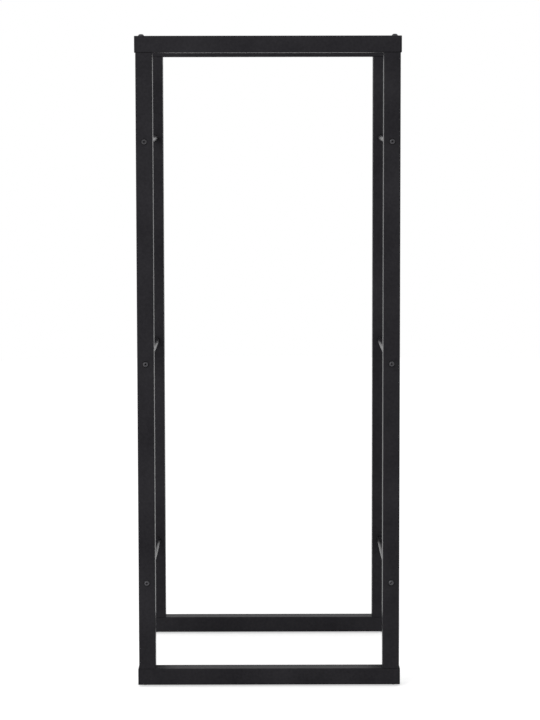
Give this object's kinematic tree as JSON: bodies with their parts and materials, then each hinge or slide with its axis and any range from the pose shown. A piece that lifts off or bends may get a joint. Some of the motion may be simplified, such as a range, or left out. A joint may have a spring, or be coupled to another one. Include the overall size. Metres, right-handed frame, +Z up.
{
  "type": "firewood rack",
  "caption": "Tall open firewood rack: a front and a back frame of black square steel tube, tied at both sides by round rods, with logs stacked across the bottom rails.",
  "frame": {"origin": "on the floor, under the middle of the rack's width and depth", "axes": "+Z up along the posts, +X to the right of someone facing the rack, -Y out of its front"},
  "size_m": [0.403, 0.3556, 1],
  "materials": {
    "black_powder_coat": "fine satin powder coat",
    "black_plastic": "matt moulded",
    "black_screw_steel": "black oxide, satin",
    "plain_steel": "bright mill"
  },
  "bodies": {
    "root": {"front_left_post": "black_powder_coat", "front_right_post": "black_powder_coat", "front_bottom_rail": "black_powder_coat", "front_top_rail": "black_powder_coat", "back_left_post": "black_powder_coat", "back_right_post": "black_powder_coat", "back_bottom_rail": "black_powder_coat", "back_top_rail": "black_powder_coat", "left_lower_rod": "black_powder_coat", "left_middle_rod": "black_powder_coat", "left_upper_rod": "black_powder_coat", "right_lower_rod": "black_powder_coat", "right_middle_rod": "black_powder_coat", "right_upper_rod": "black_powder_coat", "front_left_post_bottom_plate": "plain_steel", "front_bottom_rail_left_plug": "black_plastic", "front_left_post_top_plate": "plain_steel", "front_top_rail_left_plug": "black_plastic", "front_right_post_bottom_plate": "plain_steel", "front_bottom_rail_right_plug": "black_plastic", "front_right_post_top_plate": "plain_steel", "front_top_rail_right_plug": "black_plastic", "back_left_post_bottom_plate": "plain_steel", "back_bottom_rail_left_plug": "black_plastic", "back_left_post_top_plate": "plain_steel", "back_top_rail_left_plug": "black_plastic", "back_right_post_bottom_plate": "plain_steel", "back_bottom_rail_right_plug": "black_plastic", "back_right_post_top_plate": "plain_steel", "back_top_rail_right_plug": "black_plastic", "front_rod_screws": "black_screw_steel", "back_rod_screws": "black_screw_steel", "top_frame_screws": "black_screw_steel", "bottom_frame_screws": "black_screw_steel"}
  },
  "joints": []
}
